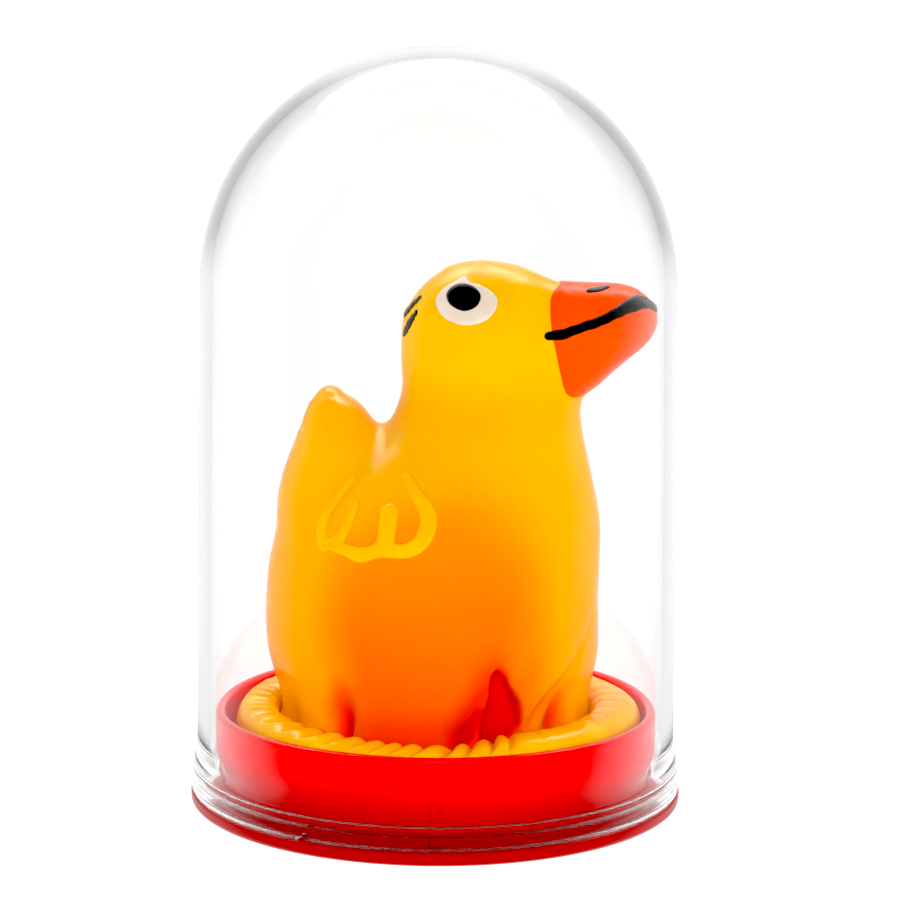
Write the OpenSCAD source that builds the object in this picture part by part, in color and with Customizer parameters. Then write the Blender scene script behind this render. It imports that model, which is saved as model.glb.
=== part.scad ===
// Novelty duck in a clear dome case.
// A thin, hollow, hand-painted latex duck hangs over a red inner former and ends in a
// rolled hem that lies in a shallow red cup. A clear dome stands on the cup's flange.
// Millimetres. +Z is up, the duck looks along +X, and the origin is the centre of the
// base's underside.

/* [Case] */
// Outside diameter of the base flange
base_d = 50; // [50:0.5:56]
// Height from the underside of the base to the top of the dome
case_h = 76.1; // [75.5:0.1:95]
// Thickness of the clear dome's wall
dome_wall = 1.2; // [0.9:0.1:1.3]
// Thickness of the base flange
flange_h = 1.35; // [1.3:0.05:1.6]
// Height of the cup's rim above the underside
cup_h = 9.85; // [9.3:0.05:10.5]
// Thickness of the cup's wall
cup_wall = 1; // [0.8:0.1:1.2]
// Thickness of the cup's floor
floor_t = 1.2; // [0.8:0.1:1.5]
// Depth of the cup, from its rim to its floor
cup_depth = 3.3; // [2.7:0.1:3.6]

/* [Duck] */
// Height of the latex figure, from the underside of its rolled hem to the crown
figure_h = 48.25; // [44:0.25:48.5]
// Thickness of the latex skin
skin_t = 0.6; // [0.5:0.1:0.8]
// Height of the rolled hem
hem_h = 3.9; // [3.4:0.1:4.2]
// Width of the rolled hem, from its inner to its outer edge
hem_w = 5.2; // [4.8:0.1:5.3]
// Thickness of the orange coat on the beak
coat_t = 0.25; // [0.2:0.05:0.4]

/* [Inner former] */
// Outside diameter of the former that holds the figure up
former_d = 24; // [20:0.5:24]
// Height of the former's top above the cup's floor
former_h = 27.5; // [22:0.5:28]
// Thickness of the former's wall
former_wall = 1; // [0.8:0.1:1.4]

/* [Hidden] */
$fn = 96;
eps = 0.01;
left = 1;    // +Y side of the duck
right = -1;  // -Y side of the duck

// Case: radii and heights that follow from the driving sizes
flange_r = base_d / 2;
flange_round = 0.6;
dome_r = flange_r - 1.2;          // where the straight wall meets the round top
dome_draft = 0.6;                 // how much wider the wall is at its foot
dome_inner_r = dome_r - dome_wall;
dome_centre_z = case_h - dome_r;
seat_gap = 0.05;
dome_foot_z = flange_h + seat_gap;
skirt_h = 5.4;
skirt_flare = 0.5;
skirt_inset = 0.1;                // how far in the flare starts from the wall
past = 1;                         // how far a cut runs past what it cuts
cup_gap = 0.75;                   // between the cup and the dome's foot
cup_r = dome_inner_r + dome_draft - cup_gap;
cup_inner_r = cup_r - cup_wall;
floor_z = cup_h - cup_depth;
snap_z = flange_h + 1.6;
bead_r = 0.4;
groove_r = 0.5;
rib_w = 1;
rib_out = 0.3;
rib_h = 4.2;
rib_count = 4;
notch_r = 0.45;
notch_angle = -121;  // seen from above, from +X

// Former: a hollow thimble whose spigot drops into the hole in the cup's floor
former_r = former_d / 2;
spigot_step = 0.6;                // how far the spigot stands in from the wall
spigot_r = former_r - spigot_step;
spigot_gap = 0.1;
foot_out = 2;                     // how far the foot stands out from the wall
foot_r = former_r + foot_out;
foot_t = 0.8;

// Figure: its profiles are drawn at a height of 48.25 and scaled to figure_h
drawn_h = 48.25;
k = figure_h / drawn_h;
hem_lift = 0.05;
figure_z = floor_z + hem_lift;
hem_r = 18.4 * k;
ring_sides = 28;
beak_sides = 20;
sphere_fn = 20;
dab_fn = 8;

// Body, neck and head from hem to crown: [height, back, front, half width]
body_rows = [
    [ 1.20, -16.60, 16.60, 16.6],
    [ 3.00, -15.70, 15.60, 15.4],
    [ 5.40, -16.10, 15.80, 15.2],
    [ 8.90, -17.10, 16.50, 15.6],
    [13.20, -17.35, 16.50, 15.7],
    [19.00, -16.90, 16.60, 15.1],
    [23.20, -15.40, 16.35, 13.8],
    [27.20, -11.40, 15.55, 11.5],
    [31.10,  -5.70, 14.55,  9.2],
    [35.00,  -3.65, 14.20,  8.1],
    [38.90,  -3.70, 13.30,  8.0],
    [42.80,  -3.45, 12.40,  7.6],
    [45.70,  -1.75, 12.00,  5.9],
    [47.00,  -0.20, 10.40,  4.4],
    [47.80,   1.10,  8.40,  2.9],
    [48.25,   3.30,  5.30,  0.9]];

// Beak from root to tip: [forward, underside, top, half width]
beak_rows = [
    [ 9.2, 32.7, 46.9, 5.4],
    [12.0, 33.2, 46.3, 5.8],
    [15.0, 35.2, 46.1, 5.5],
    [17.3, 37.2, 46.0, 4.9],
    [19.3, 38.9, 45.6, 4.2],
    [20.7, 40.1, 44.8, 3.2],
    [21.6, 41.3, 43.9, 2.0],
    [22.0, 42.2, 42.9, 0.7]];

// Tail from rump to tip: [height, back, front, half width]
tail_rows = [
    [20.5, -16.00, -4.0, 10.0],
    [23.4, -16.30, -4.0,  9.5],
    [25.4, -15.95, -4.4,  8.6],
    [27.5, -15.40, -4.8,  7.6],
    [29.5, -14.60, -5.2,  6.6],
    [31.4, -13.90, -5.9,  5.4],
    [33.0, -13.35, -7.0,  4.3],
    [34.3, -12.75, -8.3,  3.3],
    [34.9, -12.10, -9.5,  2.3]];
tail_round = 0.9;

// Painted marks, as points that a brush passes through
eye_at = [2.75, 44.8];         // [forward, height]
eye_r = 2.6;
eye_stretch = 0.4;
pupil_at = [2.5, 45.2];
pupil_r = 1.55;
pupil_stretch = 0.1;
patch_sink = 1.2;              // how far a patch reaches into the head
patch_h = 3;
head_centre = [4.4, 0, 40.8];
head_ball_r = 7.8;             // radius that the head is close to round the eye
white_raise = 0.2;
pupil_raise = 0.4;
mouth_path = [[10.7, 41.4], [12.0, 41.5], [13.8, 42.1], [15.6, 42.7], [17.0, 43.3], [18.5, 44.0],
              [19.6, 44.4], [20.6, 44.3], [21.3, 43.6]];   // [forward, height]
mouth_tip = [21.95, 0, 43.0];
mouth_r = 0.5;
nostril_path = [[14.8, 2.5], [15.8, 2.0], [16.8, 1.5]];   // [forward, sideways]
nostril_r = 0.38;
crest_paths = [[[-1.7, 44.9], [-2.5, 43.8], [-3.2, 42.5]],
               [[-2.1, 43.7], [-2.9, 42.4], [-3.4, 41.0]]];   // [forward, height]
crest_r = 0.35;
wing_rim = [[-8.2, 27.6], [-10.1, 25.3], [-11.1, 22.9], [-10.9, 21.4], [-9.3, 21.4], [-7.3, 20.8],
            [-5.7, 21.4], [-3.6, 21.4], [-1.5, 22.5], [-0.8, 24.3], [-1.6, 26.2], [-2.9, 28.0]];
wing_tongues = [[[-7.8, 25.4], [-8.4, 24.0], [-9.3, 21.9]],
                [[-4.6, 25.1], [-4.7, 23.6], [-5.1, 21.7]]];
wing_r = 0.5;
wing_side_out = 0.05;

// Lofts and curves -------------------------------------------------------------------

// A point on the smooth curve through rows, at row number u
function curve_at(rows, u) =
    let (last = len(rows) - 1,
         i = min(floor(u), last - 1),
         t = u - i,
         a = rows[max(i - 1, 0)], b = rows[i], c = rows[i + 1], d = rows[min(i + 2, last)])
    0.5 * (2 * b + (c - a) * t + (2 * a - 5 * b + 4 * c - d) * t * t
           + (3 * b - a - 3 * c + d) * t * t * t);

// The row number at which a row's first value, which only grows, comes to v
function row_of(rows, v, low = 0, high = undef, tries = 16) =
    let (top = is_undef(high) ? len(rows) - 1 : high, mid = (low + top) / 2)
    tries == 0 ? mid
    : curve_at(rows, mid)[0] < v ? row_of(rows, v, mid, top, tries - 1)
    : row_of(rows, v, low, mid, tries - 1);

// Points along the smooth curve through a path, with a few steps in each span
function smoothed(path, steps) =
    [for (s = [0 : (len(path) - 1) * steps]) curve_at(path, s / steps)];

// A level ring through a row of [height, back, front, half width], drawn in by inset
function level_ring(row, inset, sides) =
    let (centre = (row[1] + row[2]) / 2, rx = (row[2] - row[1]) / 2 - inset, ry = row[3] - inset)
    [for (i = [0 : sides - 1]) let (a = 360 * i / sides)
        [centre + max(rx, 0.2) * cos(a), max(ry, 0.2) * sin(a), row[0]]];

// An upright ring across the beak, through [forward, underside, top, half width]
function upright_ring(row, inset, sides) =
    let (centre = (row[1] + row[2]) / 2, rz = (row[2] - row[1]) / 2 - inset, ry = row[3] - inset)
    [for (i = [0 : sides - 1]) let (a = 360 * i / sides)
        [row[0], -max(ry, 0.2) * sin(a), centre + max(rz, 0.2) * cos(a)]];

// A closed solid through rings of equal length
module loft(rings) {
    n = len(rings[0]);
    last = len(rings) - 1;
    sides = [for (i = [0 : last - 1], j = [0 : n - 1])
        let (a = i * n + j, b = i * n + (j + 1) % n, c = a + n, d = b + n)
        each [[a, c, b], [b, c, d]]];
    first_cap = [for (j = [0 : n - 1]) j];
    last_cap = [for (j = [n - 1 : -1 : 0]) last * n + j];
    polyhedron([for (ring = rings) each ring], concat(sides, [first_cap, last_cap]), convexity = 8);
}

// A point on the body's surface, at a place forward and a height, on one side
function on_body(x, h, side, out = 0) =
    let (row = curve_at(body_rows, row_of(body_rows, h)),
         c = (x - (row[1] + row[2]) / 2) / ((row[2] - row[1]) / 2))
    [x, side * (row[3] * sqrt(max(0, 1 - c * c)) + out), h];

// A point on the beak's surface, at a place forward and a height, on one side
function on_beak(x, h, side) =
    let (row = curve_at(beak_rows, row_of(beak_rows, x)),
         c = (h - (row[1] + row[2]) / 2) / ((row[2] - row[1]) / 2))
    [x, side * row[3] * sqrt(max(0, 1 - c * c)), h];

// A point on top of the beak, at a place forward and sideways
function beak_top(x, y, side) =
    let (row = curve_at(beak_rows, row_of(beak_rows, x)), c = y / row[3])
    [x, side * y, (row[1] + row[2]) / 2 + (row[2] - row[1]) / 2 * sqrt(max(0, 1 - c * c))];

// A line of paint through points
module stroke(points, r) {
    for (i = [0 : len(points) - 2])
        hull() {
            translate(points[i]) sphere(r, $fn = dab_fn);
            translate(points[i + 1]) sphere(r, $fn = dab_fn);
        }
}

// Puts what is drawn in the figure's own frame in its place, at its size
module in_place() {
    translate([0, 0, figure_z]) scale(k) children();
}

// Case -------------------------------------------------------------------------------

// Flange, cup wall, floor and snap bead as one section
module base_section() {
    difference() {
        union() {
            translate([0, flange_round]) square([flange_r, flange_h - flange_round]);
            square([flange_r - flange_round, flange_h]);
            translate([flange_r - flange_round, flange_round]) circle(flange_round);
            square([cup_r, cup_h]);
            translate([cup_r, snap_z]) circle(bead_r);
        }
        translate([-eps, floor_z]) square([cup_inner_r + eps, cup_h]);
        translate([-eps, -eps]) square([cup_inner_r + eps, floor_z - floor_t + eps]);
        translate([-eps, 0]) square([spigot_r + spigot_gap + eps, cup_h]);
        translate([-base_d, -eps]) square([base_d, cup_h]);
    }
}

// The red base: a cup on a flange, with a hole in its floor for the former's spigot
module base_cup() {
    color("red") union() {
        rotate_extrude() base_section();
        for (i = [0 : rib_count - 1])
            rotate(360 * i / rib_count)
                translate([cup_r - cup_wall / 2, -rib_w / 2, flange_h - eps])
                    cube([cup_wall / 2 + rib_out, rib_w, rib_h]);
    }
}

// A thimble's section, without its foot: a straight wall under a round top
module thimble_section(r, top) {
    intersection() {
        union() {
            square([r, top - r]);
            translate([0, top - r]) circle(r);
        }
        square([r, top]);
    }
}

// The red former inside the figure, with a foot and a spigot
module inner_former() {
    color("firebrick") translate([0, 0, floor_z]) rotate_extrude() difference() {
        union() {
            thimble_section(former_r, former_h);
            square([foot_r, foot_t]);
            translate([0, -floor_t]) square([spigot_r, floor_t + eps]);
        }
        translate([0, -floor_t - eps])
            thimble_section(spigot_r - former_wall, former_h + floor_t - former_wall - spigot_step);
    }
}

// The dome's outline as a section: a wall that widens to its foot, under a round top
module dome_outline(r, foot_r, foot_z) {
    polygon([[0, foot_z], [foot_r, foot_z], [r, dome_centre_z], [0, dome_centre_z]]);
    translate([0, dome_centre_z]) circle(r);
}

// The clear cover, with a flared skirt and a snap groove
module dome_section() {
    foot_r = dome_r + dome_draft;
    foot_inner_r = dome_inner_r + dome_draft;
    difference() {
        union() {
            dome_outline(dome_r, foot_r, dome_foot_z);
            polygon([[dome_r, dome_foot_z], [foot_r + skirt_flare, dome_foot_z],
                     [foot_r - skirt_inset, dome_foot_z + skirt_h], [dome_r, dome_foot_z + skirt_h]]);
        }
        dome_outline(dome_inner_r, foot_inner_r, dome_foot_z - past);
        translate([foot_inner_r, snap_z]) circle(groove_r);
        translate([-2 * dome_r, -dome_r]) square([2 * dome_r, 2 * case_h]);
    }
}

module dome_cover() {
    color("whitesmoke", 0.3) difference() {
        rotate_extrude() dome_section();
        rotate(notch_angle) translate([dome_inner_r - past, 0, dome_foot_z])
            rotate([0, 90, 0])
                cylinder(r = notch_r, h = dome_wall + dome_draft + skirt_flare + 2 * past);
    }
}

// Figure -----------------------------------------------------------------------------

// Body, beak and tail as closed shapes, drawn in from the outside by inset
module figure_shape(inset, steps) {
    crown = body_rows[len(body_rows) - 1][0] - inset;
    body = [for (s = [0 : (len(body_rows) - 1) * steps]) curve_at(body_rows, s / steps)];
    loft([for (row = body) if (row[0] <= crown + eps) level_ring(row, inset, ring_sides)]);
    loft([for (s = [0 : (len(beak_rows) - 1) * 2])
        let (row = curve_at(beak_rows, s / 2), tip = beak_rows[len(beak_rows) - 1][0])
        if (row[0] <= tip - inset + eps) upright_ring(row, inset, beak_sides)]);
    for (i = [0 : len(tail_rows) - 2]) hull() {
        tail_slice(tail_rows[i], inset);
        tail_slice(tail_rows[i + 1], inset);
    }
}

module tail_slice(row, inset) {
    rx = (row[2] - row[1]) / 2 - inset;
    translate([(row[1] + row[2]) / 2, 0, row[0] - inset])
        scale([rx, max(row[3] - inset, 0.4), tail_round]) sphere(1, $fn = sphere_fn);
}

// What the skin leaves open: its hollow, and the way down through the hem
module figure_hollow() {
    figure_shape(skin_t / k, 2);
    translate([0, 0, body_rows[0][0] - 1])
        cylinder(r = body_rows[0][3] - skin_t / k, h = 1 + eps, $fn = ring_sides);
}

// The yellow latex skin: body, neck, head, tail and the inside of the beak
module figure_skin() {
    color("gold") in_place() difference() {
        figure_shape(0, 3);
        figure_hollow();
    }
}

// The skin's edge, rolled up on itself into a slightly flattened ring
module rolled_hem() {
    color("gold") translate([0, 0, figure_z + hem_h / 2]) rotate_extrude() {
        for (edge = [-1, 1])
            translate([hem_r + edge * (hem_w - hem_h) / 2, 0]) circle(d = hem_h);
        translate([hem_r, 0]) square([hem_w - hem_h, hem_h], center = true);
    }
}

// Beyond this slanted face the beak is dipped in orange
module dipped_space() {
    translate([12.4, -12, 32]) rotate([0, -7, 0]) cube([20, 24, 24]);
}

module beak_coat() {
    color("darkorange") in_place() difference() {
        intersection() {
            loft([for (s = [0 : (len(beak_rows) - 1) * 2])
                let (row = curve_at(beak_rows, s / 2), share = s / ((len(beak_rows) - 1) * 2))
                [for (p = upright_ring(row, -coat_t, beak_sides)) p + [coat_t * pow(share, 4), 0, 0]]]);
            dipped_space();
        }
        figure_shape(0, 3);
    }
}

// The black line between the two halves of the beak, round its tip
module mouth_line() {
    side = smoothed(mouth_path, 2);
    near = [for (p = side) on_beak(p[0], p[1], right)];
    far = [for (i = [len(side) - 1 : -1 : 0]) on_beak(side[i][0], side[i][1], left)];
    color("black") in_place() stroke(concat(near, [mouth_tip], far), mouth_r);
}

module nostril(side) {
    color("black") in_place()
        stroke([for (p = smoothed(nostril_path, 4)) beak_top(p[0], p[1], side)], nostril_r);
}

// A patch of paint on the side of the head, round or stretched forward and back, which
// follows a ball of about the head's size
module eye_patch(at, r, stretch, raise, side) {
    p = on_body(at[0], at[1], side);
    out = p - head_centre;
    in_place() translate(p) rotate([0, acos(out[2] / norm(out)), atan2(out[1], out[0])])
        intersection() {
            translate([0, 0, -patch_sink]) linear_extrude(patch_h) {
                for (end = [-1, 1]) translate([0, end * stretch]) circle(r);
                square([2 * r, 2 * stretch], center = true);
            }
            translate([0, 0, raise - head_ball_r]) sphere(head_ball_r);
        }
}

module eye_white(side) {
    color("antiquewhite") eye_patch(eye_at, eye_r, eye_stretch, white_raise, side);
}

module pupil(side) {
    color("black") eye_patch(pupil_at, pupil_r, pupil_stretch, pupil_raise, side);
}

// The wing: a raised line in three lobes, with two tongues between them
module wing_outline(side) {
    color("yellow") in_place() {
        stroke([for (p = smoothed(wing_rim, 2)) on_body(p[0], p[1], side, wing_side_out)], wing_r);
        for (tongue = wing_tongues)
            stroke([for (p = smoothed(tongue, 2)) on_body(p[0], p[1], side, wing_side_out)], wing_r);
    }
}

// Short black strokes on the back of the head, two on each side
module crest_marks() {
    color("black") in_place() for (side = [left, right], path = crest_paths)
        stroke([for (p = smoothed(path, 2)) on_body(p[0], p[1], side)], crest_r);
}

base_cup();
inner_former();
dome_cover();
figure_skin();
rolled_hem();
beak_coat();
mouth_line();
nostril(left);  // nostril_left
nostril(right);  // nostril_right
eye_white(left);  // eye_white_left
eye_white(right);  // eye_white_right
pupil(left);  // pupil_left
pupil(right);  // pupil_right
wing_outline(left);  // wing_outline_left
wing_outline(right);  // wing_outline_right
crest_marks();
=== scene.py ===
"""The looks of a latex novelty duck in its clear dome case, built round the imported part.

Shapes are worked out in millimetres, in the part's own frame: +Z is up and the duck looks along +X.
The latex figure is drawn from the same outline rows as the part, joined into one smooth skin, and
every painted mark is cut out of that skin's own surface and raised by the thickness of its paint.
"""

import math

import bpy
import numpy as np
from mathutils import Matrix, Vector
from mathutils.bvhtree import BVHTree


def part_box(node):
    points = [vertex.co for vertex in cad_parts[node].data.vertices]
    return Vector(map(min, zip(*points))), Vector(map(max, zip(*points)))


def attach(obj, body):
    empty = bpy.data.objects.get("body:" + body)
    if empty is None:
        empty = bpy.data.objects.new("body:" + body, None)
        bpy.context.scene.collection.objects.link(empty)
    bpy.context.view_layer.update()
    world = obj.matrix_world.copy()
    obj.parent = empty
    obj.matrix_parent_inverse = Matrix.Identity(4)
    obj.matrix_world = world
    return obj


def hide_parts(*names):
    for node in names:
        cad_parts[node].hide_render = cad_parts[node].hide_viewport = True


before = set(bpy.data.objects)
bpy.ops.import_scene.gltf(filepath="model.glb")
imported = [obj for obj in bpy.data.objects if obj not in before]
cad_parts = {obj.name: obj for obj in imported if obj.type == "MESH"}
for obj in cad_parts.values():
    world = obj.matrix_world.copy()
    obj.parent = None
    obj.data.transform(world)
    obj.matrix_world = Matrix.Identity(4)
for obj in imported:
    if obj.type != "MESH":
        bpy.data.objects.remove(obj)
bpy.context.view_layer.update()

MM = 0.001
RNG = np.random.default_rng(7)


def box_mm(node):
    """Lowest and highest corner of a CAD node, in millimetres."""
    return [np.array(corner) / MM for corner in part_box(node)]


# Driving places, from the frame
CASE_TOP = box_mm("dome_cover")[1][2]
DOME_FOOT = box_mm("dome_cover")[0][2]
FLANGE_R = box_mm("base_cup")[1][0]
CUP_TOP = box_mm("base_cup")[1][2]
FORMER_TOP = box_mm("inner_former")[1][2]
FORMER_FOOT_R = box_mm("inner_former")[1][0]
FIGURE_Z = box_mm("rolled_hem")[0][2]
HEM_OUTER_R = box_mm("rolled_hem")[1][0]
HEM_H = box_mm("rolled_hem")[1][2] - FIGURE_Z

# Case
SEAT_GAP = 0.05
FLANGE_H = DOME_FOOT - SEAT_GAP
FLANGE_ROUND = 0.6
FLOOR_Z = 6.55
FLOOR_T = 1.2
CUP_R = 22.45
CUP_WALL = 1.0
HOLE_R = 11.5
BEAD_Z = FLANGE_H + 1.6
BEAD_R = 0.4
RIB_ANGLES = (0, 90, 180, 270)
RIB_WIDTH = 1.0
RIB_OUT = 0.3
RIB_TOP = FLANGE_H + 4.2
DOME_R = FLANGE_R - 1.2
DOME_WALL = 1.2
DOME_DRAFT = 0.6
SKIRT_H = 5.4
SKIRT_FLARE = 0.5
GROOVE_R = 0.5
NOTCH_ANGLE = -121
NOTCH_R = 0.45
FORMER_R = 12.0
FORMER_WALL = 1.6
FORMER_FOOT_T = 0.8
SPIGOT_STEP = 0.6

# Figure: body from hem to crown [height, back, front, half width]
BODY = [
    [1.20, -16.60, 16.60, 16.6],
    [3.00, -15.70, 15.60, 15.4],
    [5.40, -16.10, 15.80, 15.2],
    [8.90, -17.10, 16.50, 15.6],
    [13.20, -17.35, 16.50, 15.7],
    [19.00, -16.90, 16.60, 15.1],
    [23.20, -15.40, 16.35, 13.8],
    [27.20, -11.40, 15.55, 11.5],
    [31.10, -5.70, 14.55, 9.2],
    [35.00, -3.65, 14.20, 8.1],
    [38.90, -3.70, 13.30, 8.0],
    [42.80, -3.45, 12.40, 7.6],
    [45.70, -1.75, 12.00, 5.9],
    [47.00, -0.20, 10.40, 4.4],
    [47.80, 1.10, 8.40, 2.9],
    [48.25, 3.30, 5.30, 0.9],
]
# Beak from root to tip [forward, underside, top, half width]
BEAK = [
    [9.2, 32.7, 46.9, 5.4],
    [12.0, 33.2, 46.3, 5.8],
    [15.0, 35.2, 46.1, 5.5],
    [17.3, 37.2, 46.0, 4.9],
    [19.3, 38.9, 45.6, 4.2],
    [20.7, 40.1, 44.8, 3.2],
    [21.6, 41.3, 43.9, 2.0],
    [22.0, 42.2, 42.9, 0.7],
]
# Tail from rump to tip [height, back, front, half width], under a rounded tip
TAIL = [
    [20.5, -16.00, -4.0, 10.0],
    [23.4, -16.30, -4.0, 9.5],
    [25.4, -15.95, -4.4, 8.6],
    [27.5, -15.40, -4.8, 7.6],
    [29.5, -14.60, -5.2, 6.6],
    [31.4, -13.90, -5.9, 5.4],
    [33.0, -13.35, -7.0, 4.3],
    [34.3, -12.75, -8.3, 3.3],
    [34.9, -12.10, -9.5, 2.3],
]
TAIL_ROUND = 0.9
SKIN_T = 0.6
SKIN_VOXEL = 0.34
SKIRT_EDGE_H = 1.7
JOIN_REACH = 2.2

# Folds round the slack foot of the skin, as lines of [direction in degrees from +X, height, half
# width, depth], where a depth below 0 stands out
FOLDS = [
    [[-130, 14, 3.6, 0.2], [-129, 9, 3.3, 1.1], [-128.5, 6, 2.5, 1.5], [-128, 3.6, 1.5, 1.9],
     [-128, 1.5, 1.2, 2.3]],
    [[-61, 15, 3.0, 0.2], [-63, 11.5, 3.0, 0.9], [-67, 8.5, 2.8, 1.5], [-73, 5, 2.2, 1.6],
     [-79, 1.5, 2.0, 1.4]],
    [[-113, 1.5, 2.6, 0.7], [-96, 1.5, 2.8, 1.1], [-84, 1.5, 2.8, 1.2]],
    [[-30, 12.5, 1.8, -0.2], [-43, 9.5, 1.8, -0.5], [-50, 6.5, 1.5, -0.7], [-52, 2.0, 1.4, -0.5]],
    [[-18, 13.8, 0.5, 0.15], [-28, 11.0, 0.55, 0.4], [-37, 7.8, 0.6, 0.7], [-44, 5.8, 0.65, 0.9],
     [-50, 3.6, 0.7, 1.0]],
    [[-31, 7.6, 1.5, 0.3], [-36, 5.4, 1.6, 1.2], [-40, 1.5, 1.7, 1.6]],
    [[-10, 12, 2.4, -0.2], [-17, 8, 2.2, -0.4], [-20, 4, 2.0, -0.3]],
    [[9, 11, 2.2, 0.3], [11, 6, 1.9, 1.3], [10, 1.5, 1.6, 2.0]],
    [[38, 13, 1.8, 0.3], [41, 6, 1.5, 1.0], [45, 1.5, 1.3, 1.4]],
    [[62, 13, 2.6, 0.3], [64, 7, 2.2, 1.4], [67, 1.5, 1.6, 2.6]],
    [[94, 11, 3.4, 0.2], [92, 5, 3.0, 0.8], [90, 1.5, 2.4, 1.3]],
    [[123, 12.5, 2.4, 0.3], [121, 6, 1.9, 1.4], [120, 1.5, 1.5, 2.4]],
    [[149, 10, 1.9, 0.2], [148, 5, 1.6, 0.9], [146, 1.5, 1.4, 1.4]],
    [[172, 11.5, 2.1, 0.2], [173, 5, 1.8, 1.1], [175, 1.5, 1.5, 1.8]],
    [[-158, 8, 2.6, 0.1], [-157, 4, 2.2, 0.4], [-156, 1.5, 1.8, 0.8]],
]
# Where the skin is sucked flat against the former, as an outline of [direction, height], and how
# fast it falls in there at the left and at the right
SUNK = [[-64.5, 8.9], [-60.5, 8.4], [-54.5, 5.8], [-54.0, 4.0], [-58.5, 3.0], [-69.5, 2.2],
        [-68.0, 4.2], [-65.2, 6.4]]
SUNK_DEPTH = 4.0
SUNK_FALL = [[-68.0, 1.3], [-58.0, 0.55]]  # [direction, width of the fall]
FLAP_LEAN = 4.5  # degrees that the flap beside it leans over it
FOLD_R = 15.0    # radius at which fold widths are measured

# Rolled hem
HEM_W = 5.2
PLEATS = 46
PLEAT_DEPTH = 1.0
PLEAT_LEAN = 3.5  # degrees that a pleat's ends lean from its middle
# Its height and how far its outer edge stands in, round the ring: [direction, height, inset]
HEM_SHAPE = [[-180, 3.8, 0.55], [-150, 3.85, 0.5], [-123, 3.75, 0.2], [-104, 3.45, 0.0], [-85, 3.3, 0.0],
             [-76, 3.7, 0.0], [-68, 4.1, 0.05], [-50, 4.05, 0.15], [-20, 4.1, 0.2], [0, 4.1, 0.25],
             [22, 3.8, 0.4], [60, 3.65, 0.5], [100, 3.75, 0.5], [140, 3.85, 0.5], [180, 3.8, 0.55]]

# How far in from its edge each paint rises, and how thick it is
COAT_RISE = [0.45, 0.22]
WHITE_RISE = [0.45, 0.2]
PUPIL_RISE = [1.0, 0.34]
MOUTH_RISE = [0.5, 0.2]
NOSTRIL_RISE = [0.25, 0.1]
CREST_RISE = [0.2, 0.09]
WING_RISE = [0.5, 0.24]
SINK = 0.12      # how far paint reaches into what is under it
COAT_UNDER = 35.7  # the orange coat ends at this height under the beak

# Painted marks, as [forward, height] outlines, or [forward, height, half width] strokes
COAT_EDGE = [[13.4, 47.6], [12.6, 46.5], [11.5, 45.7], [11.0, 44.6], [11.05, 42.2], [11.5, 39.9],
             [12.0, 37.6], [12.5, 35.9], [13.05, 35.3], [13.7, 35.05], [14.6, 35.25], [15.8, 35.7]]
EYE_WHITE = [[2.75, 46.95], [2.35, 47.0], [1.75, 46.6], [0.5, 45.85], [-0.25, 44.8], [0.0, 43.8],
             [0.9, 43.0], [2.7, 42.55], [4.4, 42.95], [5.4, 43.8], [5.75, 44.9], [5.1, 45.75], [4.0, 46.3],
             [3.1, 46.5]]
PUPIL = [[4.15, 45.1], [3.85, 45.75], [3.0, 46.2], [2.0, 46.2], [1.2, 45.75], [0.85, 45.1],
         [1.25, 44.3], [2.5, 43.82], [3.7, 44.25]]
MOUTH = [[10.8, 41.4, 0.42], [12.0, 41.5, 0.5], [13.8, 42.1, 0.46], [15.6, 42.7, 0.46], [17.0, 43.3, 0.5],
         [18.5, 44.0, 0.66], [19.6, 44.4, 0.78], [20.6, 44.3, 0.74], [21.3, 43.9, 0.6]]
MOUTH_TIP = [21.9, 43.5, 0.48]
NOSTRIL = [[14.85, 2.7, 0.3], [15.8, 2.3, 0.44], [16.7, 1.8, 0.28]]  # [forward, sideways, half width]
CREST = [
    [[-1.85, 44.75, 0.3], [-2.6, 43.95, 0.48], [-3.3, 43.0, 0.4]],
    [[-2.2, 43.4, 0.3], [-2.9, 42.2, 0.5], [-3.4, 41.1, 0.34]],
]
WING = [
    [[-8.2, 27.6, 0.34], [-9.1, 26.5, 0.42], [-10.1, 25.2, 0.46], [-10.9, 23.8, 0.5], [-11.2, 22.5, 0.55],
     [-10.85, 21.3, 0.62]],
    [[-7.8, 25.4, 0.36], [-8.4, 24.0, 0.5], [-9.1, 22.6, 0.62], [-9.8, 21.8, 0.66]],
    [[-10.4, 21.6, 0.6], [-8.6, 21.2, 0.62], [-7.3, 20.9, 0.75], [-6.0, 21.3, 0.72], [-4.9, 21.8, 0.75]],
    [[-4.6, 24.9, 0.95], [-4.7, 23.7, 0.92], [-4.9, 22.2, 0.85]],
    [[-2.9, 27.9, 0.55], [-1.95, 26.5, 0.66], [-1.05, 25.3, 0.8], [-0.8, 24.0, 0.85], [-1.4, 22.5, 0.82],
     [-2.5, 21.65, 0.75], [-3.8, 21.45, 0.7], [-5.2, 21.55, 0.72]],
]

LEFT, RIGHT = 1, -1  # +Y and -Y side of the duck


# Curves and meshes ------------------------------------------------------------------------------


def smooth_rows(rows, steps, closed=False):
    """Rows on the smooth curve that runs through the given ones."""
    rows = np.array(rows, float)
    n = len(rows)
    made = []
    for i in range(n if closed else n - 1):
        near = [j % n if closed else min(max(j, 0), n - 1) for j in (i - 1, i, i + 1, i + 2)]
        a, b, c, d = rows[near]
        for t in np.arange(steps) / steps:
            made.append(0.5 * (2 * b + (c - a) * t + (2 * a - 5 * b + 4 * c - d) * t**2
                               + (3 * b - a - 3 * c + d) * t**3))
    if not closed:
        made.append(rows[-1])
    return np.array(made)


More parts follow.
